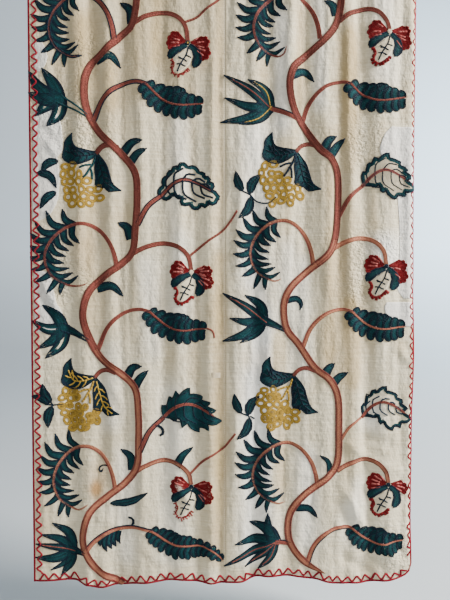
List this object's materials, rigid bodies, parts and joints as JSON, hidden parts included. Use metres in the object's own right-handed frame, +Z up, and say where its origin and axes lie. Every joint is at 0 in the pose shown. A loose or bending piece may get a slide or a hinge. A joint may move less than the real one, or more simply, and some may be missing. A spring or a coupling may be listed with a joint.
{
  "type": "crewel embroidery panel",
  "caption": "Tall hanging of ivory cloth in two loom widths sewn edge to edge, worked with climbing vines, leaves, fruit and flowers in coloured wool.",
  "frame": {"origin": "middle of the top edge, at the seam of the two loom widths, where the cloth is held up", "axes": "+Z up, away from the cloth along its top edge; the embroidered front faces -Y; +X to the right of a person who looks at the front"},
  "size_m": [1.1184, 0.0226, 2.0034],
  "materials": {
    "ground_cloth": "plain woven ivory cotton and linen, matt, aged and creased",
    "stem_wool": "twisted wool yarn in terracotta rows, matt",
    "pale_stem_wool": "twisted wool yarn in salmon rows, matt",
    "green_wool": "twisted wool yarn in dark teal green, matt",
    "navy_wool": "twisted wool yarn in indigo, matt",
    "red_wool": "twisted wool yarn in red, matt",
    "yellow_wool": "twisted wool yarn in old gold, matt",
    "cream_wool": "twisted wool yarn in cream, matt",
    "border_wool": "twisted wool yarn in crimson, matt"
  },
  "bodies": {
    "root": {"cloth_left": "ground_cloth", "cloth_right": "ground_cloth"}
  },
  "joints": []
}
